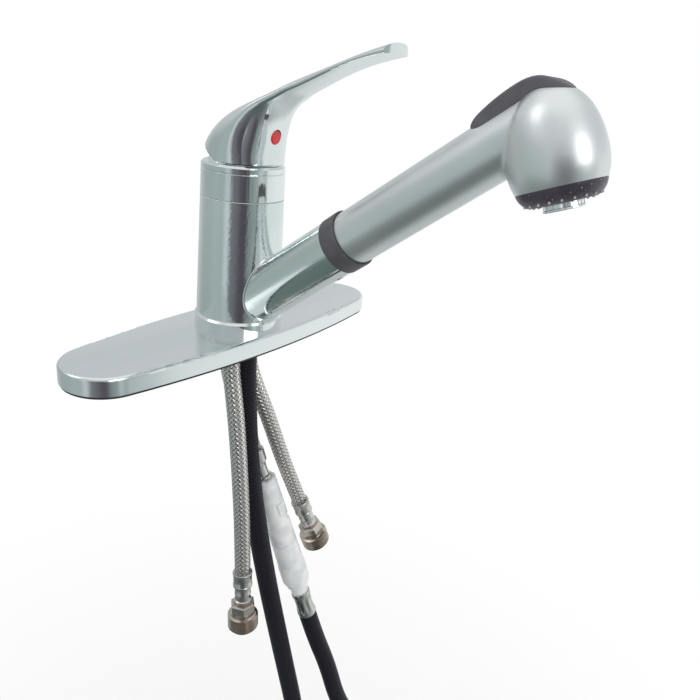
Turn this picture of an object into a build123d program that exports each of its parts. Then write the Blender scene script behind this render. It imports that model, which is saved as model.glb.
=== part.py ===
from build123d import *
import math
import os

# Pull-out kitchen faucet, in millimetres, +Z up. The origin is on the deck, at the middle
# of the deck plate. The spout points towards -Y, so the user stands on the -Y side.

# Clearances
fit_gap = 0.1        # between pieces that are screwed, pressed or clipped together
run_gap = 0.3        # between pieces that move past each other
slide_gap = 0.05     # between a pin or piston and its bore

# Deck plate, its gasket and the plastic frame inside it
plate_half_length = 127.0
plate_half_width = 33.6
plate_end_radius = 25.4
plate_top = 12.4
plate_wall = 2.0
plate_edge = 2.2
gasket_thick = 1.6
gasket_inset = 0.8
gasket_band = 7.0
frame_rim = 2.0
frame_low = 0.4
frame_hub_radius = 31.0
frame_rib_spots = (42.0, 68.0, 94.0)
frame_rib_row = 9.0

# Valve body
shank_radius = 18.5
foot_radius = 22.0
foot_top = 24.0
column_radius = 21.6
column_face = 1.5
shoulder_low = 62.0
valve_seat = 80.0
thread_low = 96.0
body_top = 104.0
stud_spot = (-11.7, 6.75)
stud_radius = 3.4
stud_depth = 12.0

# Water ways through the valve body: x, y on the deck
hot_port = (-11.6, -6.2)
cold_port = (13.0, 2.0)
mixed_port = (0.0, 9.5)
port_radius = 4.6
port_depth = 9.0
way_radius = 3.0
hot_rise = (-9.4, 7.5)
cold_rise = (11.0, 8.0)
valve_port_x = 7.5
valve_port_y = -3.0

# Rings round the valve body
base_ring_width = 6.4   # from the foot outwards
base_ring_top = 19.4
base_ring_edge = 1.2
washer_thick = 0.6
bush_outer = 23.4
bush_height = 4.0
upper_bush_height = 6.4
seam = 0.4

# Swivelling spout
sleeve_low_radius = 27.4
sleeve_top_radius = 25.9
sleeve_top = 94.6
sleeve_bore = 22.6
spout_angle = 37.4      # above the deck
spout_foot = 20.0       # height at which the spout's axis leaves the upright axis
tube_low_radius = 17.1
tube_end_radius = 16.4
tube_end = 98.9
tube_bore = 13.6
guide_seat = 82.0
guide_seat_radius = 14.6

# Hose guide at the mouth of the spout, and its screw
guide_end = 110.0
guide_radius = 16.9
guide_bore = 12.7
wand_recess = 103.5
guide_screw_at = 89.5
guide_screw_radius = 2.2
guide_screw_depth = 13.3   # its flat end, from the tube's axis

# Bonnet over the cartridge
bonnet_top = 115.5
bonnet_low_radius = sleeve_top_radius
bonnet_top_radius = bonnet_low_radius - 0.3
bonnet_edge = 1.3
bead_low = 110.6
bead_depth = 0.5
bead_width = 1.0
lift_axis = 104.0       # height of the handle's lift axis
crown_radius = 24.8
crown_wall = 2.0
crown_hole = 14.2

# Cartridge
cartridge_radius = 17.5
cartridge_neck = 13.5
cartridge_neck_low = 96.0
cartridge_top = 108.0
chamber_radius = 15.0
base_thick = 2.0
disc_thick = 3.0
disc_radius = 14.9
slider_radius = 11.3
slider_thick = 3.2
carrier_top = 92.0
boss_top = 93.8
boss_half_x = 6.0
boss_half_y = 5.0
rotor_radius = 10.9
rotor_flange = 13.8
rotor_low = 92.2
rotor_step = 95.2
rotor_top = 107.0
seal_outer = 4.4
seal_thick = 1.2
nut_radius = 20.0
nut_collar = 104.5
nut_top = 107.6
nut_flats = 32.0

# Stem that the handle tilts
stem_half = 3.5
stem_top = 138.0
arm_length = 13.0
ball_radius = 2.3
stem_neck = 1.6        # radius of the neck above the ball
pin_radius = 1.5
pin_half = 9.6
lift_range = 25.0

# Handle: how its sections fan out about a line across the front of the bonnet
fan_y = -50.0
fan_z = 118.0
skirt_low = 116.8
skirt_break = -0.5
skirt_slope = 31.0
cavity_radius = 25.7
tip_y = -104.3
tip_round = 26.0
button_z = 133.0
button_radius = 4.2
button_depth = 3.2
grub_radius = 2.5

# Wand and spray head
wand_low = 104.0
wand_low_radius = 15.5
wand_high = 205.0
wand_high_radius = 14.8
wand_wall = 2.4
wand_join = 234.0       # where the tube's outside ends inside the head
tail_low = 70.0
tail_radius = 12.4
tail_top = 112.0
fitting_low = 60.0
fitting_radius = 9.5
washer_low = 86.0
washer_top = 88.0
pipe_radius = 5.5
pipe_bore = 4.2
pipe_low = 106.0
pipe_top = 225.0
head_y = -197.0         # middle of the edge between metal and black face
head_z = 133.5
head_lean = 22.0        # of the spray axis, from straight down
head_radius = 22.6
head_widest = 11.6      # height of the widest ring over that edge
head_dome = 34.0        # height of the dome over the widest ring
head_mouth = 20.3
neck_blend = 3.0
face_radius = 14.9
face_depth = 7.2
face_wall = 1.8
aerator_radius = 9.7
aerator_end = 10.6
aerator_bore = 8.2
core_radius = 17.4
core_top = 20.0
core_neck = 10.0
core_neck_top = 34.2
core_seat = 2.4         # floor of the core, over which the diverter's spring stands
saddle_radius = 6.9     # boss round the waterway tube
channel_radius = 5.0
nozzle_radius = 0.6
nozzle_rings = ((16.9, 6.6, 20), (12.9, 7.7, 10))   # radius, tip, count

# Spray toggle on the head, and the diverter that it presses
pad_length = 50.0
pad_width = 19.0
pad_gap = 0.5
pad_chord = ((-149.2, 152.8), (-194.0, 175.3))
pad_under = 3.0         # from the shell's outside to the underside of the pad
pad_edge = 1.6
toggle_axis = (-169.0, 161.2)
ear_inner = 3.0
ear_outer = 5.5
lug_outer = 8.2
plunger_offset = 1.5
plunger_radius = 2.0
plunger_top = 42.2
plunger_head = 3.2
plunger_low = 8.0

# Hoses
supply_radius = 5.9
spray_hose_radius = 7.6
passage_gap = 0.7
spray_port = (2.0, -6.3)
hose_bend = 50.0
nipple_drop = 5.0

# Ends of the supply hoses
ferrule_radius = 7.3
ferrule_length = 12.6
neck_radius = 6.0
neck_length = 15.2
inlet_flats = 17.6
inlet_hex = 8.5
inlet_radius = 11.7
inlet_length = 16.0
inlet_bore = 5.0

# Quick connector between the mixed-water hose and the spray hose
outlet_ferrule_length = 26.5
connector_length = 116.0
connector_split = 62.0
connector_bore = 4.6
valve_seat_at = 66.0    # seat of the check valve
tongue_radius = 7.0
tongue_length = 14.0
hose_ferrule_length = 25.0
hose_ferrule_radius = 7.9

# Free routes of the hoses, chosen by hand
hot_route = [
    (*hot_port, -nipple_drop), (*hot_port, -18), (-11.2, -9.6, -38), (-10.0, -12.8, -66),
    (-9.3, -16.6, -103), (-8.8, -20.2, -144), (-9.3, -22.8, -181.4),
]
cold_route = [
    (*cold_port, -nipple_drop), (*cold_port, -17), (14.8, 0.6, -30), (20.0, -3.5, -48),
    (28.2, -7.0, -70), (37.6, -10.0, -97), (48.2, -14.4, -127), (58.2, -19.1, -153.6),
]
outlet_route = [
    (*mixed_port, -nipple_drop), (*mixed_port, -18), (3.6, 8.2, -38), (10.8, 6.2, -60),
    (17.95, 4.5, -80.1), (21.8, 0.1, -98.1),
]
down_route = [
    (*spray_port, 0), (*spray_port, -22), (3.1, -7.1, -46), (4.3, -9.0, -78), (7.2, -12.8, -120),
    (12.2, -18.2, -165), (18.4, -24.2, -210), (25.6, -30.4, -255), (33.2, -37.2, -302),
    (40.8, -44.6, -350), (44.5, -50.4, -391),
]
up_route = [(92.9, -69.9, -389.4), (76.4, -65.9, -356.1), (69.9, -56.4, -317.7)]

# Coil of the hose that hangs below, tied for storage: an upright ring of turns
coil_radius = 77.0
coil_pitch = 16.6
coil_across = (0.702, -0.712, 0.0)
coil_middle = (118.0, -499.3)   # along coil_across, and height
coil_start_depth = 6.0
coil_from = 158.0
coil_turn = 612.0
coil_lead = 16.0        # straight end of the coil
coil_run = 29.8         # straight run of the free hose that meets it
tie_width = 6.0
tie_thick = 1.4
tie_gap = 0.2


def upright(radius, low, high, x=0, y=0):
    """A cylinder standing on the deck's frame."""
    along = (Align.CENTER, Align.CENTER, Align.MIN)
    return Pos(x, y, low) * Cylinder(radius, high - low, align=along)


def ring(outer, inner, low, high, x=0, y=0):
    return upright(outer, low, high, x, y) - upright(inner, low - 1, high + 1, x, y)


def turned(*points):
    """A body turned about Z from straight lines through (radius, height)."""
    return revolve(Plane.XZ * make_face(Polyline(*points, close=True)), Axis.Z)


def rod(start, end, radius):
    """A round bar between two points."""
    start, end = Vector(*start), Vector(*end)
    along = (Align.CENTER, Align.CENTER, Align.MIN)
    place = Plane(origin=start, z_dir=end - start).location
    return place * Cylinder(radius, (end - start).length, align=along)


def block(x_low, x_high, y_low, y_high, z_low, z_high):
    size = (x_high - x_low, y_high - y_low, z_high - z_low)
    middle = ((x_high + x_low) / 2, (y_high + y_low) / 2, (z_high + z_low) / 2)
    return Pos(*middle) * Box(*size)


def hexagon(flats, low, high):
    return Pos(0, 0, low) * extrude(RegularPolygon(flats / math.sqrt(3), 6), high - low)


def chamfer_ring(part, axis_z, radius, size):
    """Breaks the round edges of a part at one height and one radius."""
    edges = [
        e for e in part.edges().filter_by(GeomType.CIRCLE)
        if abs(e.radius - radius) < 0.01 and abs(e.center().Z - axis_z) < 0.01
    ]
    return chamfer(edges, size)


# Frames of the slanted parts: local Z runs along the spout, and down the spray
spout_rise = math.radians(spout_angle)
spout_way = Vector(0, -math.cos(spout_rise), math.sin(spout_rise))
spout_frame = Plane(origin=(0, 0, spout_foot), x_dir=(1, 0, 0), z_dir=spout_way)
spray_lean = math.radians(head_lean)
spray_way = Vector(0, -math.sin(spray_lean), -math.cos(spray_lean))
head_frame = Plane(origin=(0, head_y, head_z), x_dir=(1, 0, 0), z_dir=spray_way)
lift_point = Pos(0, 0, lift_axis)


def on_spout(part):
    return spout_frame.location * part


def on_head(part):
    return head_frame.location * part


# Deck plate

def plate_face(inset):
    """The plate's outline: two round ends joined by two long flat arcs."""
    end_middle = plate_half_length - plate_end_radius
    side = end_middle**2 + plate_half_width**2 - plate_end_radius**2
    side /= 2 * (plate_half_width - plate_end_radius)
    drop = side - plate_half_width
    reach = math.hypot(end_middle, drop)
    end = plate_end_radius - inset
    x = end_middle + end * end_middle / reach
    y = end * drop / reach
    length = plate_half_length - inset
    width = plate_half_width - inset
    return make_face([
        ThreePointArc((x, y), (0, width), (-x, y)),
        ThreePointArc((-x, y), (-length, 0), (-x, -y)),
        ThreePointArc((-x, -y), (0, -width), (x, -y)),
        ThreePointArc((x, -y), (length, 0), (x, y)),
    ])


def plate_slab(inset, low, high):
    return Pos(0, 0, low) * extrude(plate_face(inset), high - low)


def make_deck_plate():
    plate = plate_slab(0, gasket_thick, plate_top)
    rim = plate.faces().sort_by(Axis.Z)[-1].edges()
    plate = fillet(rim, plate_edge)
    plate -= plate_slab(plate_wall, gasket_thick - 1, plate_top - plate_wall)
    return plate - upright(shank_radius + run_gap, 0, plate_top + 1)


def make_deck_gasket():
    outer = plate_slab(gasket_inset, 0, gasket_thick)
    return outer - plate_slab(gasket_inset + gasket_band, -1, gasket_thick + 1)


def make_plate_frame():
    """The ribbed plastic frame that fills the plate and carries the clamping force."""
    top = plate_top - plate_wall
    edge = gasket_inset + gasket_band + run_gap
    frame = plate_slab(edge, frame_low, top) - plate_slab(edge + frame_rim, -1, top + 1)
    inside = plate_slab(edge + frame_rim / 2, frame_low, top)
    for side in (-1, 1):
        row = side * frame_rib_row
        frame += inside & block(-130, 130, row - 1, row + 1, frame_low + 2, top)
        for spot in frame_rib_spots:
            frame += inside & block(side * spot - 1, side * spot + 1, -40, 40, frame_low + 2, top)
    frame += upright(frame_hub_radius, frame_low, top) & inside
    return frame - upright(shank_radius + run_gap, -1, plate_top)


def make_base_ring():
    inner = foot_radius + fit_gap
    outer = inner + base_ring_width
    edge = base_ring_edge
    return turned(
        (inner, plate_top), (outer, plate_top),
        (outer, base_ring_top - edge), (outer - edge, base_ring_top),
        (inner, base_ring_top),
    )


# Valve body

def hose_passage():
    """The way for the spray hose: a bore that flares forwards, so the hose can bend."""
    x, y = spray_port
    bore = spray_hose_radius + passage_gap
    inner = hose_bend - bore
    flare = [
        (hose_bend - math.sqrt(inner**2 - height**2), height)
        for height in (0, foot_top / 2, foot_top + 0.1)
    ]
    profile = make_face([
        Line((0, 0), flare[0]), ThreePointArc(*flare),
        Line(flare[2], (0, foot_top + 0.1)), Line((0, foot_top + 0.1), (0, 0)),
    ])
    trumpet = revolve(Plane.XZ * profile, Axis.Z) & block(-50, 50, -50, 0.5, 0, 50)
    return Pos(x, y, 0) * (trumpet + upright(bore, -1, foot_top + 0.1))


def water_ways():
    """Threaded ports below, drilled ways up to the cartridge."""
    floor = valve_seat
    ways = upright(way_radius, port_depth - 1, floor + 1, *mixed_port)
    for port, rise, side in ((hot_port, hot_rise, -1), (cold_port, cold_rise, 1)):
        ways += rod((*port, port_depth - 1), (*rise, foot_top), way_radius)
        ways += rod((*rise, foot_top - 1), (*rise, shoulder_low + 3), way_radius)
        top = (side * valve_port_x, valve_port_y, floor + 0.5)
        ways += rod((*rise, shoulder_low + 2), top, way_radius)
    for port in (hot_port, cold_port, mixed_port):
        ways += upright(port_radius, -1, port_depth, *port)
    return ways


def make_valve_body():
    body = upright(shank_radius, 0, plate_top) + upright(foot_radius, plate_top, foot_top)
    rear = block(-50, 50, column_face, 50, foot_top, shoulder_low)
    body += upright(column_radius, foot_top, shoulder_low) & rear
    body += upright(foot_radius, shoulder_low, body_top)
    body -= upright(cartridge_radius + fit_gap, valve_seat, body_top + 1)
    body -= upright(nut_radius + slide_gap, thread_low, body_top + 1)
    body -= hose_passage()
    body -= water_ways()
    return body - upright(stud_radius, -1, stud_depth, *stud_spot)


def make_hose_nipples():
    """The screwed ends of the three hoses, in their ports."""
    nipples = []
    for port in (hot_port, cold_port, mixed_port):
        nipple = upright(port_radius - slide_gap, 0, port_depth - 1, *port)
        nipple += upright(supply_radius, -nipple_drop, 0, *port)
        nipples.append(nipple - upright(way_radius, -nipple_drop - 1, port_depth, *port))
    return Compound(children=nipples)


# Swivel bushes

def make_lower_bush():
    inner = foot_radius + fit_gap
    flange = sleeve_low_radius - 0.4
    low = base_ring_top
    top = low + washer_thick
    return ring(flange, inner, low, top) + ring(bush_outer, inner, top, top + bush_height)


def make_upper_bush():
    inner = foot_radius + fit_gap
    flange = sleeve_top_radius - 0.5
    bush = ring(bush_outer, inner, sleeve_top - upper_bush_height, sleeve_top)
    return bush + ring(flange, inner, sleeve_top, sleeve_top + seam)


# Swivelling spout

def make_spout_body():
    low = base_ring_top + washer_thick
    sleeve = turned(
        (0, low), (sleeve_low_radius, low), (sleeve_top_radius, sleeve_top), (0, sleeve_top),
    )
    tube = on_spout(turned(
        (0, 4), (tube_low_radius, 4), (tube_low_radius, 30), (tube_end_radius, tube_end),
        (0, tube_end),
    ))
    body = sleeve + (tube - upright(sleeve_bore, -50, 200))
    body -= upright(sleeve_bore, low - 1, sleeve_top + 1)
    bush_bore = bush_outer + slide_gap
    body -= upright(bush_bore, low - 1, low + bush_height + run_gap)
    body -= upright(bush_bore, sleeve_top - upper_bush_height - run_gap, sleeve_top + 1)
    over_bush = block(-60, 60, -200, 60, low + bush_height + 0.8, 300)
    body -= on_spout(upright(tube_bore, 6, tube_end + 1)) & over_bush
    body -= on_spout(upright(guide_seat_radius, guide_seat, tube_end + 1))
    hole = guide_screw_radius + slide_gap
    body -= on_spout(rod((0, 0, guide_screw_at), (0, -30, guide_screw_at), hole))
    return body & block(-60, 60, -200, 60, low, 300)


def make_hose_guide():
    spigot = guide_seat_radius - fit_gap
    guide = upright(spigot, guide_seat, tube_end) + upright(guide_radius, tube_end, guide_end)
    guide = chamfer_ring(guide, tube_end, guide_radius, 0.4)
    guide = chamfer_ring(guide, guide_end, guide_radius, 0.4)
    guide -= upright(guide_bore, guide_seat - 1, guide_end + 1)
    guide -= upright(wand_low_radius + run_gap, wand_recess, guide_end + 1)
    start = (0, -guide_screw_depth, guide_screw_at)
    hole = rod(start, (0, -30, guide_screw_at), guide_screw_radius + slide_gap)
    return on_spout(guide - hole)


def make_guide_screw():
    start = (0, -guide_screw_depth, guide_screw_at)
    screw = rod(start, (0, -15.6, guide_screw_at), guide_screw_radius)
    socket = rod((0, -14.6, guide_screw_at), (0, -17, guide_screw_at), 1.1)
    return on_spout(screw - socket)


# Bonnet and cartridge

def make_bonnet():
    low = sleeve_top + seam
    slope = (bonnet_low_radius - bonnet_top_radius) / (bonnet_top - low)
    bead_top = bead_low + bead_width
    at_bead = bonnet_low_radius - slope * (bead_low - low)
    shell = turned(
        (0, low), (bonnet_low_radius - 0.3, low), (bonnet_low_radius, low + 0.3),
        (at_bead, bead_low), (at_bead - bead_depth, bead_low + bead_width / 2),
        (at_bead, bead_top), (bonnet_top_radius, bonnet_top - bonnet_edge),
        (bonnet_top_radius - bonnet_edge, bonnet_top), (0, bonnet_top),
    )
    above = block(-50, 50, -50, 50, body_top, 200)
    shell += lift_point * Sphere(crown_radius) & above
    shell -= lift_point * Sphere(crown_radius - crown_wall) & above
    shell -= upright(foot_radius + fit_gap, low - 1, body_top)
    return shell - upright(crown_hole, body_top, 200)


def make_cartridge_nut():
    nut = upright(nut_radius, thread_low, nut_collar)
    nut += hexagon(nut_flats, nut_collar, nut_top)
    return nut - upright(cartridge_neck + fit_gap, thread_low - 1, nut_top + 1)


def make_cartridge_housing():
    low = valve_seat + base_thick
    housing = upright(cartridge_radius, low, cartridge_neck_low)
    housing += upright(cartridge_neck, cartridge_neck_low, cartridge_top)
    housing -= upright(chamber_radius, low - 1, rotor_step + slide_gap)
    return housing - upright(rotor_radius + slide_gap, rotor_step - 1, cartridge_top + 1)


def valve_ports(radius, low, high):
    ports = [
        upright(radius, low, high, side * valve_port_x, valve_port_y) for side in (-1, 1)
    ]
    return ports + [upright(radius, low, high, *mixed_port)]


def make_cartridge_base():
    base = upright(cartridge_radius, valve_seat, valve_seat + base_thick)
    for port in valve_ports(seal_outer + slide_gap, valve_seat - 1, valve_seat + seal_thick):
        base -= port
    for port in valve_ports(way_radius, valve_seat - 1, valve_seat + 3):
        base -= port
    return base


def make_cartridge_seals():
    outer = valve_ports(seal_outer, valve_seat, valve_seat + seal_thick)
    inner = valve_ports(way_radius + 0.2, valve_seat - 1, valve_seat + 3)
    return Compound(children=[a - b for a, b in zip(outer, inner)])


def make_fixed_disc():
    low = valve_seat + base_thick
    disc = upright(disc_radius, low, low + disc_thick)
    for port in valve_ports(way_radius - 0.4, low - 1, low + disc_thick + 1):
        disc -= port
    return disc


disc_throw = arm_length * math.sin(math.radians(lift_range))
slider_low = valve_seat + base_thick + disc_thick
carrier_low = slider_low + slider_thick


def make_moving_disc():
    disc = upright(slider_radius, slider_low, carrier_low, 0, disc_throw / 2)
    window = Pos(0, disc_throw / 2, slider_low + 0.5) * Box(9, 13, 3)
    return disc - window


def make_disc_carrier():
    carrier = upright(slider_radius, carrier_low, carrier_top, 0, disc_throw / 2)
    carrier += block(-boss_half_x, boss_half_x, -boss_half_y, boss_half_y, carrier_top, boss_top)
    ball_low = lift_axis - arm_length - ball_radius
    return carrier - upright(ball_radius + run_gap, ball_low - fit_gap, boss_top + 1)


def make_stem_rotor():
    """The turning piece that holds the stem's pin; a channel below guides the carrier."""
    rotor = upright(rotor_flange, rotor_low, rotor_step)
    rotor += upright(rotor_radius, rotor_step, rotor_top)
    channel = boss_half_x + slide_gap * 2
    rotor -= block(-channel, channel, -20, 20, rotor_low - 1, boss_top + 0.2)
    slot = stem_half + run_gap
    rotor -= block(-slot, slot, -9.0, 5.8, rotor_low - 1, rotor_top + 1)
    return rotor - rod((-20, 0, lift_axis), (20, 0, lift_axis), pin_radius)


def make_stem_pin():
    return rod((-pin_half, 0, lift_axis), (pin_half, 0, lift_axis), pin_radius)


def make_cartridge_stem():
    shank_low = lift_axis - stem_half
    stem = block(-stem_half, stem_half, -stem_half, stem_half, shank_low, stem_top)
    ball_z = lift_axis - arm_length
    stem += upright(stem_neck, ball_z, shank_low)
    stem += Pos(0, 0, ball_z) * Sphere(ball_radius)
    return stem - rod((-20, 0, lift_axis), (20, 0, lift_axis), pin_radius + slide_gap)


# Handle

# Each section lies in a plane through the fan line. Its angle is followed by distances from
# that line and half widths: front middle, crease (half width, distance), widest point
# (half width, distance) and top.
handle_sections = (
    (-8.0, 24.6, (18.2, 32.5), (24.7, 50.0), 77.8),
    (4.0, 26.1, (18.3, 33.9), (24.6, 50.0), 72.2),
    (16.0, 26.6, (18.3, 35.1), (23.6, 49.3), 64.5),
    (28.0, 27.9, (17.7, 36.5), (21.6, 47.4), 56.4),
    (40.0, 30.5, (16.8, 37.8), (19.3, 45.2), 50.0),
    (52.0, 34.0, (15.5, 38.9), (17.1, 43.2), 46.2),
    (64.0, 37.2, (14.1, 39.3), (15.2, 42.2), 45.2),
    (76.0, 40.2, (12.7, 40.9), (13.6, 43.2), 46.3),
    (88.0, 43.3, (11.6, 43.7), (12.2, 45.9), 49.2),
    (98.0, 47.7, (10.7, 48.0), (11.2, 50.2), 53.2),
    (107.0, 53.8, (10.1, 54.1), (10.6, 56.3), 58.9),
    (115.0, 61.6, (10.0, 61.8), (10.5, 64.0), 66.8),
    (122.0, 70.4, (10.2, 70.6), (10.7, 73.2), 76.6),
    (129.0, 81.5, (10.5, 81.7), (11.0, 85.2), 89.9),
    (135.0, 93.0, (10.7, 93.3), (11.2, 97.8), 104.5),
)


def handle_section(angle, front, crease, widest, top):
    turn = math.radians(angle)
    plane = Plane(
        origin=(0, fan_y, fan_z), x_dir=(1, 0, 0),
        z_dir=(0, math.sin(turn), -math.cos(turn)),
    )
    # local Y of this plane points away from the fan line
    flip = 1 if plane.y_dir.dot(Vector(0, math.cos(turn), math.sin(turn))) > 0 else -1
    shoulder = (0.76 * widest[0], widest[1] + 0.68 * (top - widest[1]))
    belly = (0.72 * crease[0], front + 0.34 * (crease[1] - front))
    right = [crease, widest, shoulder]
    outer = [(w, d) for w, d in right] + [(0, top)] + [(-w, d) for w, d in reversed(right)]
    inner = [(-crease[0], crease[1]), (-belly[0], belly[1]), (0, front), belly, crease]
    outer = Spline(*[(w, flip * d) for w, d in outer])
    inner = Spline(*[(w, flip * d) for w, d in inner])
    return plane * make_face([outer, inner])


def handle_trim():
    """What stays of the handle: above the skirt's edge, and behind the rounded tip."""
    rise = math.tan(math.radians(skirt_slope))
    back = 60.0
    side = [
        (-150, skirt_low), (skirt_break, skirt_low),
        (back, skirt_low + rise * (back - skirt_break)), (back, 260), (-150, 260),
    ]
    keep = extrude(Plane.YZ * make_face(Polyline(*side, close=True)), 60, both=True)
    tip = upright(tip_round, 100, 260, 0, tip_y + tip_round)
    return keep & (tip + block(-60, 60, tip_y + tip_round, 100, 100, 260))


def front_of_handle(z):
    """Where the front face stands at one height, between two sections."""
    rows = [
        (fan_z + s[1] * math.sin(math.radians(s[0])), fan_y + s[1] * math.cos(math.radians(s[0])))
        for s in handle_sections
    ]
    for (z0, y0), (z1, y1) in zip(rows, rows[1:]):
        if z0 <= z <= z1:
            return y0 + (y1 - y0) * (z - z0) / (z1 - z0)
    return rows[0][1]


def make_handle():
    handle = loft([handle_section(*row) for row in handle_sections])
    handle &= handle_trim()
    handle -= lift_point * Sphere(cavity_radius)
    socket = stem_half + slide_gap
    handle -= block(-socket, socket, -socket, socket, lift_axis, stem_top + 0.5)
    front = front_of_handle(button_z)
    handle -= rod((0, -stem_half, button_z), (0, -60, button_z), grub_radius + slide_gap)
    seat = front + button_depth
    return handle - rod((0, seat, button_z), (0, -60, button_z), button_radius + fit_gap)


def make_handle_screw():
    screw = rod((0, -stem_half, button_z), (0, -stem_half - 8, button_z), grub_radius)
    socket = Plane(origin=(0, -stem_half - 8, button_z), z_dir=(0, 1, 0))
    return screw - extrude(socket * RegularPolygon(1.5, 6), 2.5)


def make_index_button():
    seat = front_of_handle(button_z) + button_depth
    front = seat - button_depth - 0.3
    button = rod((0, seat, button_z), (0, front, button_z), button_radius)
    rim = button.edges().filter_by(GeomType.CIRCLE).sort_by(Axis.Y)[0]
    return fillet(rim, 1.0)


# Wand and spray head

def dome_profile(radius, dome, mouth, widest):
    """Half outline of the head, as (radius, height along the spray axis, up is minus)."""
    lower = widest / math.sqrt(1 - (mouth / radius) ** 2)
    half = widest / 2
    middle = radius * math.sqrt(1 - ((widest - half) / lower) ** 2)
    upper = [
        (radius * math.cos(math.radians(a)), -widest - dome * math.sin(math.radians(a)))
        for a in (0, 22.5, 45, 67.5, 90)
    ]
    return make_face([
        Line((0, 0), (mouth, 0)),
        ThreePointArc((mouth, 0), (middle, -half), (radius, -widest)),
        Spline(*upper, tangents=[(0, -1), (-1, 0)]),
        Line((0, -widest - dome), (0, 0)),
    ])


def head_form(inset):
    mouth = head_mouth - inset
    profile = dome_profile(head_radius - inset, head_dome - inset, mouth, head_widest)
    return on_head(revolve(Plane.XZ * profile, Axis.Z))


def wand_tube(low, high, inset):
    slope = (wand_low_radius - wand_high_radius) / (wand_high - wand_low)
    return on_spout(turned(
        (0, low), (wand_low_radius - inset - slope * (low - wand_low), low),
        (wand_low_radius - inset - slope * (high - wand_low), high), (0, high),
    ))


def pad_plane():
    (y0, z0), (y1, z1) = pad_chord
    chord = Vector(0, y1 - y0, z1 - z0).normalized()
    middle = (0, (y0 + y1) / 2, (z0 + z1) / 2)
    return Plane(origin=middle, x_dir=(1, 0, 0), z_dir=Vector(1, 0, 0).cross(chord) * -1)


def pad_prism(extra, below, above):
    """The toggle's outline seen square on: a slot, carried through the shell."""
    outline = SlotOverall(pad_length + 2 * extra, pad_width + 2 * extra, rotation=90)
    return pad_plane().location * Pos(0, 0, -below) * extrude(outline, below + above)


def make_wand_shell():
    shell = wand_tube(wand_low, wand_join, 0) + head_form(0)
    neck = shell.edges().filter_by(GeomType.BSPLINE)
    shell = fillet(neck, neck_blend)
    shell -= wand_tube(wand_low - 1, wand_join - 5, wand_wall)
    shell -= head_form(wand_wall)
    shell -= on_head(upright(head_mouth - wand_wall, -1, 1))
    return shell - pad_prism(pad_gap, 9, 30)


def make_wand_tail():
    tail = upright(tail_radius, tail_low, wand_low)
    tail += upright(wand_low_radius - wand_wall - fit_gap, wand_low, tail_top)
    tail -= upright(fitting_radius + slide_gap, tail_low - 1, washer_top)
    tail -= upright(pipe_bore, washer_top - 1, tail_top + 1)
    tail -= upright(pipe_radius + slide_gap, pipe_low, tail_top + 1)
    return on_spout(tail)


def make_hose_end_fitting():
    fitting = upright(fitting_radius, tail_low + 2, washer_low)
    fitting += upright(fitting_radius - 1.0, fitting_low, tail_low + 2)
    return on_spout(fitting - upright(pipe_bore, fitting_low - 1, washer_low + 1))


def make_hose_washer():
    return on_spout(ring(fitting_radius - run_gap, pipe_bore, washer_low, washer_top))


def make_waterway_pipe():
    return on_spout(ring(pipe_radius, pipe_bore, pipe_low, pipe_top))


def toggle_bar(low, high, radius):
    y, z = toggle_axis
    return rod((low, y, z), (high, y, z), radius)


def toggle_place():
    """Distance along the wand's axis, and above it, of the toggle's pin."""
    y, z = toggle_axis
    spot = spout_frame.to_local_coords(Vector(0, y, z))
    return spot.Z, spot.Y


def make_head_core():
    """The plastic water block in the head, with its inlet socket and the toggle's lugs."""
    mouth = core_radius - 1.5
    core = upright(core_radius, -core_top, -3.5) + upright(mouth, -3.5, -0.3)
    core += upright(core_neck, -core_neck_top, -core_top)
    core = on_head(core)
    along, above = toggle_place()
    core += on_spout(upright(saddle_radius, along - 7, pipe_top + 3))
    core += on_spout(block(-lug_outer, lug_outer, -4, 2, along - 4, along + 6))
    for side in (-1, 1):
        low, high = sorted((side * (ear_outer + run_gap), side * lug_outer))
        core += toggle_bar(low, high, pin_radius + 1.1)
        core += on_spout(block(low, high, 0, above, along - 2.6, along + 2.6))
    inside = upright(channel_radius, -28, -core_seat)
    inside += upright(plunger_radius + slide_gap, -60, -20, 0, plunger_offset)
    inside += ring(mouth + 1, mouth - 1.2, -2.6, -1.4)
    for angle in range(0, 360, 90):
        inside += Rot(0, 0, angle) * upright(1.0, -core_seat - 1, 1, 3.9, 0)
    core -= on_head(inside)
    core -= on_spout(upright(pipe_radius + slide_gap, pipe_low, pipe_top + slide_gap))
    core -= on_spout(upright(pipe_bore, pipe_low, pipe_top + 6))
    return core - toggle_bar(-20, 20, pin_radius)


def make_face_seal():
    mouth = core_radius - 1.5
    return on_head(ring(mouth + 0.05, mouth - 1.2, -2.5, -1.5))


def face_profile(inset):
    """Black spray face: a flat ring with a rounded edge."""
    start = (head_mouth - inset, 0)
    end = (face_radius - inset * 0.6, face_depth - inset)
    bulge = (head_mouth - 1.6 - inset * 0.9, 0.56 * face_depth - inset * 0.4)
    inner = aerator_radius + fit_gap
    return make_face([
        Line((inner, 0), start), ThreePointArc(start, bulge, end),
        Line(end, (inner, end[1])), Line((inner, end[1]), (inner, 0)),
    ])


def each_nozzle(radius, end, start):
    """A round bar through the face at every nozzle; end adds to each nozzle's tip."""
    bars = []
    for row, tip, count in nozzle_rings:
        for step in range(count):
            bar = upright(radius, start, tip + end, row, 0)
            bars.append(Rot(0, 0, step * 360 / count) * bar)
    return bars


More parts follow.
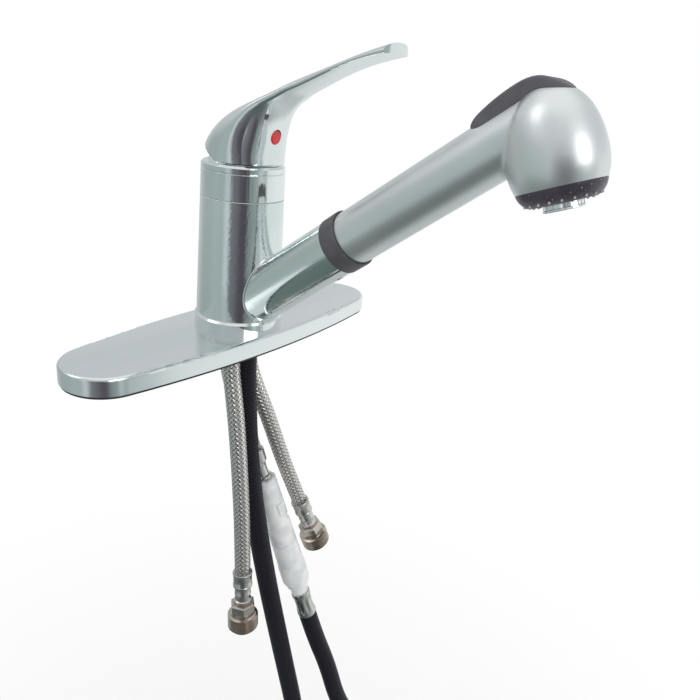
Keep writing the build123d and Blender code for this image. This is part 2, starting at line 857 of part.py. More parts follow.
def make_spray_face():
    face = revolve(Plane.XZ * face_profile(0), Axis.Z)
    hollow = revolve(Plane.XZ * face_profile(face_wall), Axis.Z)
    face -= hollow - upright(aerator_radius + 1.6, -1, 20)
    outer = head_mouth - wand_wall - fit_gap
    inner = core_radius - 1.4
    face += ring(outer, inner, -3.5, 0.2) + ring(head_mouth - 1.5, inner, 0, 1.4)
    face -= each_nozzle(nozzle_radius, 3, 1.6)
    return on_head(face)


def make_spray_nozzles():
    """One soft insert behind the face, with a small nub through each hole."""
    hollow = revolve(Plane.XZ * face_profile(face_wall), Axis.Z)
    plate = hollow & ring(17.3, aerator_radius + 1.7, 1.5, 2.7)
    plate += each_nozzle(nozzle_radius - slide_gap, 0, 2.0)
    return on_head(plate)


def make_aerator_housing():
    housing = upright(aerator_radius, -0.25, aerator_end)
    housing = chamfer_ring(housing, aerator_end, aerator_radius, 0.5)
    return on_head(housing - upright(aerator_bore, -4, aerator_end + 1))


def make_aerator_insert():
    insert = upright(aerator_bore - slide_gap, aerator_end - 5, aerator_end - 1)
    for row, count in ((2.6, 6), (5.6, 12)):
        for step in range(count):
            insert -= Rot(0, 0, step * 360 / count) * upright(0.7, 0, 20, row, 0)
    return on_head(insert)


def make_toggle_pad():
    """Rocking pad: it fills the shell's window and follows the shell's curve below."""
    top = [
        (-145.5, 148.4), (-149.2, 152.8), (-158.6, 163.6), (-167.3, 171.4), (-180.4, 178.0),
        (-190.0, 176.4), (-194.0, 174.6), (-199.0, 171.4),
    ]
    side = make_face([Spline(*top), Polyline(top[-1], (-199.0, 140.0), (-145.5, 140.0), top[0])])
    pad = Pos(-pad_width, 0, 0) * extrude(Plane.YZ * side, 2 * pad_width)
    pad &= pad_prism(0, 9, 30)
    crest = max(pad.faces(), key=lambda f: pad_plane().to_local_coords(f.center()).Z)
    pad = fillet(crest.edges(), pad_edge)
    pad -= wand_tube(wand_low, wand_join, pad_under) + head_form(pad_under)
    along, above = toggle_place()
    pad -= toggle_bar(-lug_outer - run_gap, lug_outer + run_gap, pin_radius + 1.7)
    reach = lug_outer + run_gap
    pad -= on_spout(block(-reach, reach, -20, above, along - 4, along + 4))
    for side_x in (-1, 1):
        low, high = sorted((side_x * ear_inner, side_x * ear_outer))
        pad += toggle_bar(low, high, pin_radius + 1.4)
        pad += on_spout(block(low, high, above, above + 4.5, along - 2.9, along + 2.9))
    return pad - toggle_bar(-20, 20, pin_radius + slide_gap)


def make_toggle_pin():
    return toggle_bar(-lug_outer, lug_outer, pin_radius)


def make_diverter_stem():
    stem = upright(plunger_radius, -plunger_top, -plunger_low)
    rim = stem.edges().filter_by(GeomType.CIRCLE).sort_by(Axis.Z)[0]
    stem = fillet(rim, 1.6)
    stem += upright(plunger_head, -plunger_low - 2.5, -plunger_low)
    return on_head(Pos(0, plunger_offset, 0) * stem)


def spring(radius, wire, length, turns):
    """Round wire wound about Z, with its centre line from height 0 to length."""
    path = Helix(length / turns, length, radius)
    start = Plane(origin=path @ 0, z_dir=path % 0)
    return sweep(start * Circle(wire), path)


def make_diverter_spring():
    wire = 0.35
    length = plunger_low - core_seat - 2 * wire - 0.1
    coil = spring(2.3, wire, length, 4)
    return on_head(Pos(0, plunger_offset, -plunger_low + wire + 0.05) * coil)


# Hoses

def route_radii(points, least):
    """The largest arcs that a route's runs allow, and what they are."""
    points = [Vector(*p) for p in points]
    radii = []
    for a, b, c in zip(points, points[1:], points[2:]):
        turn = math.radians((b - a).get_angle(c - b))
        radii.append(0.45 * min((b - a).length, (c - b).length) / math.tan(turn / 2))
    print("   least arc", round(min(radii), 1), "wanted over", round(least, 1))
    return radii


def tube_along(name, points, radius, radii=None):
    """A hose along straight runs joined by arcs."""
    print(name)
    path = FilletPolyline(*points, radius=radii or route_radii(points, 5 * 2 * radius))
    start = Plane(origin=path @ 0, z_dir=path % 0)
    tube = sweep(start * Circle(radius), path)
    share = tube.volume / (math.pi * radius**2 * path.length)
    print("   length", round(path.length, 1), "volume over section x length", round(share, 4))
    return tube


def make_inner_hose():
    """The hose inside the spout, from the wand's fitting down to the deck."""
    points = [
        spout_frame.from_local_coords(Vector(0, 0, fitting_low)),
        spout_frame.from_local_coords(Vector(0, 0, fitting_low - 10)),
        Vector(*spray_port, hose_bend / 2 - 0.2),
        Vector(*spray_port, 0),
    ]
    return tube_along("inner_hose", points, spray_hose_radius, [150.0, hose_bend])


def end_frame(points):
    """A frame at the end of a route, looking on along its last run."""
    last, before = Vector(*points[-1]), Vector(*points[-2])
    return Plane(origin=last, z_dir=last - before).location


def make_ferrule(points):
    ferrule = upright(ferrule_radius, 0, ferrule_length)
    ferrule += upright(neck_radius, ferrule_length, ferrule_length + neck_length)
    bead = ferrule_length + neck_length - 2.6
    ferrule += upright(neck_radius + 0.8, bead, bead + 1.6)
    ferrule -= upright(inlet_bore - 1.2, -1, ferrule_length + neck_length + 1)
    return end_frame(points) * ferrule


def make_inlet_fitting(points):
    low = ferrule_length + neck_length
    split = low + inlet_hex
    fitting = hexagon(inlet_flats, low, split)
    fitting += upright(inlet_radius, split, split + inlet_length)
    fitting = chamfer_ring(fitting, split + inlet_length, inlet_radius, 0.8)
    return end_frame(points) * (fitting - upright(inlet_bore, low - 1, split + inlet_length + 1))


def make_outlet_ferrule():
    length = outlet_ferrule_length
    ferrule = upright(ferrule_radius, 0, 11) + upright(5.4, 11, length)
    ferrule += upright(7.0, length - 3.2, length - 0.2)
    ferrule -= upright(3.0, -1, length + 1)
    return end_frame(outlet_route) * ferrule


connector_way = (Vector(*outlet_route[-1]) - Vector(*outlet_route[-2])).normalized()
connector_top = Vector(*outlet_route[-1]) + connector_way * outlet_ferrule_length
connector_frame = Plane(origin=connector_top, z_dir=connector_way).location


def make_connector_socket():
    profile = turned(
        (0, 0), (6.6, 0), (7.2, 1), (7.8, 22), (8.8, 24), (9.0, 34), (8.2, 35.5), (8.2, 37.5),
        (9.8, 39), (10.2, 60), (10.0, connector_split), (0, connector_split),
    )
    profile -= upright(connector_bore, -1, 30)
    profile -= upright(tongue_radius + slide_gap, connector_split - tongue_length, 80)
    return connector_frame * (profile - upright(connector_bore, 20, 60))


def make_connector_plug():
    split = connector_split
    profile = turned(
        (0, split), (10.2, split), (10.5, split + 2), (10.4, 92), (9.6, 103), (8.6, 107),
        (5.8, 108), (5.8, connector_length), (0, connector_length),
    )
    profile += upright(tongue_radius, split - tongue_length + 0.5, split)
    groove = split - tongue_length + 4
    profile -= ring(tongue_radius + 1, tongue_radius - 1.6, groove, groove + 2.2)
    profile -= upright(connector_bore, 0, valve_seat_at) + upright(6.4, valve_seat_at, 92)
    profile -= upright(connector_bore - 1, 91, connector_length + 1)
    return connector_frame * profile


def make_connector_ring():
    groove = connector_split - tongue_length + 4
    seal = ring(tongue_radius + 0.04, tongue_radius - 1.5, groove + 0.1, groove + 2.1)
    return connector_frame * seal


def make_check_poppet():
    poppet = upright(5.6, valve_seat_at + 0.1, valve_seat_at + 2.3)
    poppet += upright(1.6, valve_seat_at + 2.3, valve_seat_at + 16)
    return connector_frame * poppet


def make_check_spring():
    wire = 0.4
    low = valve_seat_at + 2.35 + wire
    return connector_frame * Pos(0, 0, low) * spring(4.2, wire, 92 - low - wire, 6)


def make_hose_ferrule():
    ferrule = upright(hose_ferrule_radius, 5, hose_ferrule_length)
    ferrule += upright(hose_ferrule_radius - 0.9, 0, 5)
    ferrule -= upright(3.4, -1, hose_ferrule_length + 1)
    return connector_frame * Pos(0, 0, connector_length) * ferrule


# Frame of the coil: local X across it, local Y up, local Z towards the front
coil_side = Vector(*coil_across).normalized()
coil_frame = Plane(
    origin=coil_side * coil_middle[0] + Vector(0, 0, coil_middle[1]),
    x_dir=coil_side, z_dir=coil_side.cross(Vector(0, 0, 1)),
)


def coil_point(turned_by):
    angle = math.radians(coil_from + turned_by)
    depth = coil_start_depth - coil_pitch * turned_by / 360
    spot = Vector(coil_radius * math.cos(angle), coil_radius * math.sin(angle), depth)
    return coil_frame.from_local_coords(spot)


def coil_slope():
    """Heading of the hose where the coil starts."""
    angle = math.radians(coil_from)
    climb = -coil_pitch / (2 * math.pi * coil_radius)
    slope = Vector(-math.sin(angle), math.cos(angle), climb)
    return (coil_frame.from_local_coords(slope) - coil_frame.origin).normalized()


def coil_path():
    """A straight lead, arcs of about a quarter turn that meet without a kink, a lead."""
    steps = round(coil_turn / 90)
    point, slope = coil_point(0), coil_slope()
    edges = [Line(point - slope * coil_lead, point)]
    for step in range(1, steps + 1):
        arc = TangentArc(point, coil_point(step * coil_turn / steps), tangent=slope)
        edges.append(arc)
        point, slope = arc @ 1, arc % 1
    edges.append(Line(point, point + slope * coil_lead))
    return Wire([edge.edge() for edge in edges])


def make_hose_coil():
    path = coil_path()
    start = Plane(origin=path @ 0, z_dir=path % 0)
    tube = sweep(start * Circle(spray_hose_radius), path)
    length = path.length
    spots = [path @ (i / 300) for i in range(301)]
    apart = round(300 * 8 * spray_hose_radius / length)
    least = min((a - b).length for i, a in enumerate(spots) for b in spots[i + apart:])
    share = tube.volume / (math.pi * spray_hose_radius**2 * length)
    print("hose_coil")
    print("   length", round(length, 1), "volume over section x length", round(share, 4))
    print("   least gap to itself", round(least - 2 * spray_hose_radius, 2))
    return tube


def make_hose_down():
    path = coil_path()
    end, slope = path @ 0, (path % 0).normalized()
    return tube_along("hose_down", [*down_route, end - slope * coil_run, end], spray_hose_radius)


def make_hose_up():
    path = coil_path()
    start, slope = path @ 1, (path % 1).normalized()
    end = connector_top + connector_way * (connector_length + hose_ferrule_length)
    points = [start, start + slope * coil_run, *up_route, end + connector_way * 27.4, end]
    return tube_along("hose_up", points, spray_hose_radius)


def make_coil_tie():
    """A flat band round the two passes of hose at the foot of the coil."""
    path = coil_path()
    spots = [coil_frame.to_local_coords(path @ (i / 4000)) for i in range(4001)]
    foot = [a for a, b in zip(spots, spots[1:]) if a.Y < 0 and a.X <= 0 < b.X]
    middle = (foot[0] + foot[1]) / 2
    apart = foot[0] - foot[1]
    place = Plane(origin=middle, x_dir=(0, apart.Y, apart.Z), z_dir=(1, 0, 0))
    inner = 2 * (spray_hose_radius + tie_gap)
    band = SlotCenterToCenter(apart.length, inner + 2 * tie_thick)
    band -= SlotCenterToCenter(apart.length, inner)
    band = extrude(place * band, tie_width / 2, both=True)
    low = middle.Y - inner / 2 - tie_thick
    lock = block(-4, 4, low - 3.4, low + 0.6, middle.Z - 3.6, middle.Z + 3.6)
    return coil_frame.location * (band + lock)


pieces = {
    "deck_plate": make_deck_plate,
    "deck_gasket": make_deck_gasket,
    "plate_frame": make_plate_frame,
    "base_ring": make_base_ring,
    "valve_body": make_valve_body,
    "hose_nipples": make_hose_nipples,
    "lower_bush": make_lower_bush,
    "upper_bush": make_upper_bush,
    "spout_body": make_spout_body,
    "hose_guide": make_hose_guide,
    "guide_screw": make_guide_screw,
    "bonnet": make_bonnet,
    "cartridge_base": make_cartridge_base,
    "cartridge_seals": make_cartridge_seals,
    "cartridge_housing": make_cartridge_housing,
    "cartridge_nut": make_cartridge_nut,
    "fixed_disc": make_fixed_disc,
    "moving_disc": make_moving_disc,
    "disc_carrier": make_disc_carrier,
    "stem_carrier": make_stem_rotor,
    "stem_pin": make_stem_pin,
    "cartridge_stem": make_cartridge_stem,
    "handle": make_handle,
    "handle_screw": make_handle_screw,
    "index_button": make_index_button,
    "wand_shell": make_wand_shell,
    "wand_tail": make_wand_tail,
    "hose_end_fitting": make_hose_end_fitting,
    "hose_washer": make_hose_washer,
    "waterway_tube": make_waterway_pipe,
    "head_core": make_head_core,
    "face_seal": make_face_seal,
    "spray_face": make_spray_face,
    "spray_nozzles": make_spray_nozzles,
    "aerator_housing": make_aerator_housing,
    "aerator_insert": make_aerator_insert,
    "toggle_pad": make_toggle_pad,
    "toggle_pin": make_toggle_pin,
    "diverter_stem": make_diverter_stem,
    "diverter_spring": make_diverter_spring,
    "inner_hose": make_inner_hose,
    "hot_supply_hose": lambda: tube_along("hot_supply_hose", hot_route, supply_radius),
    "cold_supply_hose": lambda: tube_along("cold_supply_hose", cold_route, supply_radius),
    "outlet_hose": lambda: tube_along("outlet_hose", outlet_route, supply_radius),
    "hot_ferrule": lambda: make_ferrule(hot_route),
    "cold_ferrule": lambda: make_ferrule(cold_route),
    "hot_inlet_fitting": lambda: make_inlet_fitting(hot_route),
    "cold_inlet_fitting": lambda: make_inlet_fitting(cold_route),
    "outlet_ferrule": make_outlet_ferrule,
    "connector_socket": make_connector_socket,
    "connector_plug": make_connector_plug,
    "connector_o_ring": make_connector_ring,
    "check_valve_poppet": make_check_poppet,
    "check_valve_spring": make_check_spring,
    "hose_ferrule": make_hose_ferrule,
    "hose_down": make_hose_down,
    "hose_coil": make_hose_coil,
    "hose_up": make_hose_up,
    "coil_tie": make_coil_tie,
}

os.makedirs("parts", exist_ok=True)
for name, make in pieces.items():
    piece = make()
    piece.label = name
    export_step(piece, f"parts/{name}.step")
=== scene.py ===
import math
import bpy
from mathutils import Matrix, Vector


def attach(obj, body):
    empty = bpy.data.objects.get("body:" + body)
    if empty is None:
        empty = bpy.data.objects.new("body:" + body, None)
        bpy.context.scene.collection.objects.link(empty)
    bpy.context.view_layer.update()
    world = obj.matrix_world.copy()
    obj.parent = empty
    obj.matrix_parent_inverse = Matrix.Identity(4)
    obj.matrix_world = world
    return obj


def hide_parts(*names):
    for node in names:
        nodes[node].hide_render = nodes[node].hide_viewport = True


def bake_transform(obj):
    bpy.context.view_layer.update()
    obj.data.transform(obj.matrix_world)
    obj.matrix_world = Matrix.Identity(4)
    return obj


# Pull-out kitchen faucet, in metres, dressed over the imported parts
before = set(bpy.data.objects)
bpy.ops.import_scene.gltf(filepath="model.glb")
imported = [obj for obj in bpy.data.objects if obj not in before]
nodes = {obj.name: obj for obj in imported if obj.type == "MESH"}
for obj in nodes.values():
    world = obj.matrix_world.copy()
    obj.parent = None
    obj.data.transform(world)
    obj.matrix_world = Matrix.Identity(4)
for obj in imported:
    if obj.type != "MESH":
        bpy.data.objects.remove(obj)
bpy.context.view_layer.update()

# Lines that the slanted parts are built on
spoutRise = math.radians(37.4)
sprayLean = math.radians(22)
spoutWay = Vector((0, -math.cos(spoutRise), math.sin(spoutRise)))
sprayWay = Vector((0, -math.sin(sprayLean), -math.cos(sprayLean)))
spoutFoot = Vector((0, 0, 0.020))
headMiddle = Vector((0, -0.197, 0.1335))
tapMiddle = Vector((0, -0.08, 0.06))


def metres(points):
    return [Vector(point) / 1000 for point in points]


# The camera stands where the photographer stood
cameraView = {
    "place": (-0.3007, -0.2967, 0.1693),
    "yaw": -55.87,
    "pitch": 22.32,
    "roll": 5.98,
    "lens": 33.97,
}


def makeCamera(view):
    yaw, pitch, roll = (math.radians(view[key]) for key in ("yaw", "pitch", "roll"))
    right = Vector((math.cos(yaw), math.sin(yaw), 0))
    ahead = Vector((-math.sin(yaw) * math.cos(pitch), math.cos(yaw) * math.cos(pitch), -math.sin(pitch)))
    up = right.cross(ahead)
    sideways = right * math.cos(roll) + up * math.sin(roll)
    upwards = up * math.cos(roll) - right * math.sin(roll)
    data = bpy.data.cameras.new("photoCamera")
    data.lens = view["lens"]
    data.sensor_width = 36
    data.clip_start = 0.01
    camera = bpy.data.objects.new("photoCamera", data)
    turn = Matrix((sideways, upwards, -ahead)).transposed().to_4x4()
    camera.matrix_world = Matrix.Translation(view["place"]) @ turn
    bpy.context.scene.collection.objects.link(camera)
    bpy.context.scene.camera = camera


makeCamera(cameraView)
print("camera placed")


# Hoses: each follows a smooth line through its points
hotHose = {
    "points": metres([
        (-11.6, -6.2, -5), (-11.6, -6.2, -18), (-11.2, -9.6, -38), (-10, -12.8, -66),
        (-9.3, -16.6, -103), (-8.8, -20.2, -144), (-9.3, -22.8, -181.4),
    ]),
    "radius": 0.0059, "length": 0.1773, "stiffness": "medium", "lay": "hanging", "farEnd": "fitting",
}
coldHose = {
    "points": metres([
        (13, 2, -5), (13, 2, -17), (14.8, 0.6, -30), (20, -3.5, -48),
        (28.2, -7, -70), (37.6, -10, -97), (48.2, -14.4, -127), (58.2, -19.1, -153.6),
    ]),
    "radius": 0.0059, "length": 0.1577, "stiffness": "medium", "lay": "hanging", "farEnd": "fitting",
}
outletHose = {
    "points": metres([
        (0, 9.5, -5), (0, 9.5, -18), (3.6, 8.2, -38), (10.8, 6.2, -60),
        (17.95, 4.5, -80.1), (21.8, 0.1, -98.1),
    ]),
    "radius": 0.0059, "length": 0.0968, "stiffness": "medium", "lay": "hanging", "farEnd": "connector",
}
downRoute = metres([
    (2, -6.3, 0), (2, -6.3, -22), (3.1, -7.1, -46), (4.3, -9, -78), (7.2, -12.8, -120),
    (12.2, -18.2, -165), (18.4, -24.2, -210), (25.6, -30.4, -255), (33.2, -37.2, -302),
    (40.8, -44.6, -350), (44.5, -50.4, -391), (39.4, -50.7, -428), (32.3, -42.1, -455.6),
])
upRoute = metres([
    (125.1, -94.7, -430), (109.5, -78.1, -410.8), (92.9, -69.9, -389.4), (76.4, -65.9, -356.1),
    (69.9, -56.4, -317.7), (61.4, -45.2, -283.5), (55.9, -38.8, -257.4),
])
hoseCoil = {
    "across": Vector((0.702, -0.712, 0)).normalized(),
    "middle": 0.118,        # along that direction
    "height": -0.4993,
    "radius": 0.0792,       # of the points, which the line passes just inside
    "startDepth": 0.006,
    "pitch": 0.0166,
    "from": 158,
    "turn": 612,
    "steps": 22,
}


def coilRoute(coil):
    towards = coil["across"].cross(Vector((0, 0, 1)))
    middle = coil["across"] * coil["middle"] + Vector((0, 0, coil["height"]))
    points = []
    for step in range(coil["steps"] + 1):
        turned = coil["turn"] * step / coil["steps"]
        angle = math.radians(coil["from"] + turned)
        depth = coil["startDepth"] - coil["pitch"] * turned / 360
        side = coil["across"] * math.cos(angle) * coil["radius"]
        points.append(middle + side + Vector((0, 0, math.sin(angle) * coil["radius"])) + towards * depth)
    return points


sprayHose = {
    "points": downRoute + coilRoute(hoseCoil) + upRoute,
    "radius": 0.0076, "length": 1.518, "stiffness": "medium", "lay": "hanging", "farEnd": "object",
}


def smoothLine(points, resolution=12):
    # The points of the spline that the route's points pull into shape
    curve = bpy.data.curves.new("route", "CURVE")
    curve.dimensions = "3D"
    spline = curve.splines.new("NURBS")
    spline.points.add(len(points) - 1)
    for place, point in zip(spline.points, points):
        place.co = (*point, 1)
    spline.order_u = 3
    spline.use_endpoint_u = True
    spline.resolution_u = resolution
    holder = bpy.data.objects.new("route", curve)
    bpy.context.scene.collection.objects.link(holder)
    bpy.context.view_layer.update()
    mesh = bpy.data.meshes.new_from_object(holder.evaluated_get(bpy.context.evaluated_depsgraph_get()))
    line = [vertex.co.copy() for vertex in mesh.vertices]
    bpy.data.objects.remove(holder)
    bpy.data.curves.remove(curve)
    bpy.data.meshes.remove(mesh)
    return line


def tubeOn(name, line, radius, sides=32):
    # A round tube whose UV map runs along the hose in metres and once round it
    vertices, faces, maps = [], [], []
    travelled = 0
    along = (line[1] - line[0]).normalized()
    across = along.orthogonal().normalized()
    for index, spot in enumerate(line):
        ahead = line[min(index + 1, len(line) - 1)]
        behind = line[max(index - 1, 0)]
        heading = (ahead - behind).normalized()
        across = (across - heading * across.dot(heading)).normalized()
        other = heading.cross(across)
        if index:
            travelled += (spot - line[index - 1]).length
        for side in range(sides):
            angle = 2 * math.pi * side / sides
            vertices.append(spot + (across * math.cos(angle) + other * math.sin(angle)) * radius)
            if index:
                before = (index - 1) * sides
                beside = (side + 1) % sides
                faces.append((before + side, before + beside, before + sides + beside, before + sides + side))
                low, high = side / sides, (side + 1) / sides
                step = (line[index] - line[index - 1]).length
                started = travelled - step
                maps += [(started, low), (started, high), (travelled, high), (travelled, low)]
    faces.append(tuple(reversed(range(sides))))
    maps += [(0, 0)] * sides
    last = (len(line) - 1) * sides
    faces.append(tuple(last + side for side in range(sides)))
    maps += [(travelled, 0)] * sides
    mesh = bpy.data.meshes.new(name)
    mesh.from_pydata(vertices, [], faces)
    layer = mesh.uv_layers.new(name="alongHose")
    for corner, place in zip(layer.data, maps):
        corner.uv = place
    mesh.polygons.foreach_set("use_smooth", [len(face) == 4 for face in faces])
    piece = bpy.data.objects.new(name, mesh)
    bpy.context.scene.collection.objects.link(piece)
    return piece


# Shading: sums on sockets, and one method for every other node
class Value:
    def __init__(self, finish, socket):
        self.finish = finish
        self.socket = socket

    def maths(self, operation, other=0.0, swapped=False):
        pair = (other, self) if swapped else (self, other)
        return self.finish.add("ShaderNodeMath", {"operation": operation}, {0: pair[0], 1: pair[1]})

    def __add__(self, other):
        return self.maths("ADD", other)

    def __sub__(self, other):
        return self.maths("SUBTRACT", other)

    def __rsub__(self, other):
        return self.maths("SUBTRACT", other, True)

    def __mul__(self, other):
        return self.maths("MULTIPLY", other)

    def __truediv__(self, other):
        return self.maths("DIVIDE", other)

    def __pow__(self, other):
        return self.maths("POWER", other)

    __radd__ = __add__


class Wiring:
    def __init__(self, tree):
        self.tree = tree

    def join(self, socket, value):
        if isinstance(value, Value):
            self.tree.links.new(value.socket, socket)
        else:
            socket.default_value = value

    def add(self, kind, settings=None, inputs=None, output=0):
        node = self.tree.nodes.new(kind)
        for key, value in (settings or {}).items():
            if key == "stops":
                for index, (place, level) in enumerate(value):
                    stops = node.color_ramp.elements
                    stop = stops[index] if index < 2 else stops.new(place)
                    stop.position = place
                    stop.color = (*level, 1) if isinstance(level, tuple) else (level, level, level, 1)
            else:
                setattr(node, key, value)
        for key, value in (inputs or {}).items():
            self.join(node.inputs[key], value)
        return Value(self, node.outputs[output])

    def place(self, scale=(1, 1, 1), turn=(0, 0, 0)):
        # Turned first and then stretched, so the stretch follows the turned line
        spot = self.add("ShaderNodeTexCoord", output=3)
        if any(turn):
            spot = self.add("ShaderNodeMapping", {}, {"Vector": spot, "Rotation": turn})
        return self.add("ShaderNodeMapping", {}, {"Vector": spot, "Scale": scale})

    def noise(self, scale, stretch=(1, 1, 1), turn=(0, 0, 0), detail=3.0):
        inputs = {"Vector": self.place(stretch, turn), "Scale": scale, "Detail": detail}
        return self.add("ShaderNodeTexNoise", {}, inputs)

    def cells(self, scale):
        inputs = {"Vector": self.place(), "Scale": scale}
        return self.add("ShaderNodeTexVoronoi", {"feature": "F1"}, inputs)

    def mix(self, factor, first, second):
        ends = [(*end, 1) if isinstance(end, tuple) else end for end in (first, second)]
        inputs = {0: factor, 6: ends[0], 7: ends[1]}
        return self.add("ShaderNodeMix", {"data_type": "RGBA"}, inputs, output=2)

    def stepped(self, value, low, high):
        inputs = {"Value": value, "From Min": low, "From Max": high}
        return self.add("ShaderNodeMapRange", {"clamp": True, "interpolation_type": "SMOOTHSTEP"}, inputs)

    def bump(self, height, strength, distance):
        inputs = {"Height": height, "Strength": strength, "Distance": distance}
        return self.add("ShaderNodeBump", {}, inputs)


class Finish(Wiring):
    def __init__(self, name, **fixed):
        self.material = bpy.data.materials.new(name)
        self.material.use_nodes = True
        super().__init__(self.material.node_tree)
        self.shader = self.tree.nodes["Principled BSDF"]
        for socket, value in fixed.items():
            self.shader.inputs[socket.replace("_", " ")].default_value = value

    def wear(self, **varying):
        for socket, value in varying.items():
            self.join(self.shader.inputs[socket.replace("_", " ")], value)
        return self.material


def metalFinish(name, dark, light, rough, spread, stretch=(1, 1, 1), turn=(0, 0, 0), grain=420.0,
                lift=0.00002):
    # Plated metal: slow clouding in its tint, polishing marks in its gloss and faint waves along its grain
    finish = Finish(name, Metallic=1.0)
    cloud = finish.noise(26.0, stretch, turn)
    marks = finish.noise(grain, stretch, turn, 4.0)
    tint = finish.mix(finish.stepped(cloud, 0.35, 0.65), dark, light)
    gloss = marks * spread + (rough - spread / 2)
    return finish.wear(Base_Color=tint, Roughness=gloss, Normal=finish.bump(marks, 0.5, lift))


def plasticFinish(name, dark, light, rough, grain=900.0, lift=0.00004, **fixed):
    # Moulded plastic or rubber: faint mottling and a fine moulded texture
    finish = Finish(name, **fixed)
    cloud = finish.noise(60.0)
    texture = finish.noise(grain, detail=4.0)
    tint = finish.mix(finish.stepped(cloud, 0.3, 0.7), dark, light)
    return finish.wear(Base_Color=tint, Roughness=texture * 0.16 + (rough - 0.08),
                       Normal=finish.bump(texture, 0.4, lift))


def braidFinish(name, strand, gapShade, strands, pitch, wires, metallic, rough, lift, **fixed):
    # Two sets of flat strands wound opposite ways, each passing over and under the other; the colour darkens
    # from the strands' crests into the gaps between them as painted shade
    finish = Finish(name, Metallic=metallic, **fixed)
    spot = finish.add("ShaderNodeUVMap", {"uv_map": "alongHose"})
    along = finish.add("ShaderNodeSeparateXYZ", {}, {0: spot}, output=0)
    around = finish.add("ShaderNodeSeparateXYZ", {}, {0: spot}, output=1)
    first = around * float(strands) + along / pitch
    second = around * float(strands) - along / pitch
    crest = []
    for way in (first, second):
        across = way.maths("FRACT") - 0.5
        crown = 1.0 - (across * across) * 4.0
        ribs = (way * (wires * 2 * math.pi)).maths("SINE") * 0.12
        crest.append(crown.maths("MAXIMUM", 0.0) ** 0.5 + ribs)
    check = ((first.maths("FLOOR") + second.maths("FLOOR")) * 0.5).maths("FRACT") * 2.0
    over = crest[0] * check + crest[1] * (1.0 - check)
    under = crest[1] * check + crest[0] * (1.0 - check)
    height = over.maths("MAXIMUM", under - 0.45)
    # Painted shade: the lower the weave, the nearer its colour comes to the dark gap colour
    shade = finish.stepped(height, 0.38, 0.95)
    tint = finish.mix(shade, gapShade, strand)
    return finish.wear(Base_Color=tint, Roughness=rough + 0.15 - shade * 0.15,
                       Normal=finish.bump(height, 0.9, lift))


def satinFinish():
    # Pearly satin coat of the wand, with a fine metallic sparkle; the sparkle's paler flecks in its colour
    # are painted glints
    finish = Finish("satinSilver", Metallic=0.94)
    sparkle = finish.cells(2600.0)
    cloud = finish.noise(20.0)
    tint = finish.mix(finish.stepped(cloud, 0.3, 0.7), (0.73, 0.755, 0.755), (0.79, 0.81, 0.81))
    # Painted glints: the sparkle cells lift the colour towards a paler tint
    lit = finish.mix(finish.stepped(sparkle, 0.0, 0.55) * 0.16, tint, (0.88, 0.90, 0.90))
    return finish.wear(Base_Color=lit, Roughness=0.30 + sparkle * 0.10,
                       Normal=finish.bump(sparkle, 0.18, 0.00002))


def faceFinish():
    # Dark spray face with pale specks in patches
    finish = Finish("sprayFacePlastic", Specular_IOR_Level=0.5)
    specks = finish.stepped(finish.cells(640.0), 0.18, 0.10)
    patches = finish.stepped(finish.noise(150.0), 0.43, 0.56)
    speckled = specks * patches
    cloud = finish.noise(90.0)
    tint = finish.mix(finish.stepped(cloud, 0.3, 0.7), (0.030, 0.024, 0.036), (0.060, 0.050, 0.068))
    return finish.wear(Base_Color=finish.mix(speckled, tint, (0.62, 0.60, 0.63)),
                       Roughness=0.34 + speckled * 0.3, Normal=finish.bump(cloud, 0.25, 0.00004))


def milkyFinish():
    # Milky translucent plastic with cloudy patches
    finish = Finish("milkyPlastic", Subsurface_Weight=0.25, Subsurface_Radius=(1, 1, 1),
                    Subsurface_Scale=0.003, Specular_IOR_Level=0.45)
    cloud = finish.noise(85.0, detail=4.0)
    tint = finish.mix(finish.stepped(cloud, 0.38, 0.66), (0.70, 0.735, 0.74), (0.86, 0.875, 0.87))
    grain = finish.noise(700.0)
    return finish.wear(Base_Color=tint, Roughness=0.28 + grain * 0.2, Normal=finish.bump(cloud, 0.35, 0.0004))


alongSpout = (spoutRise, 0, 0)
alongHandle = (math.radians(26), 0, 0)

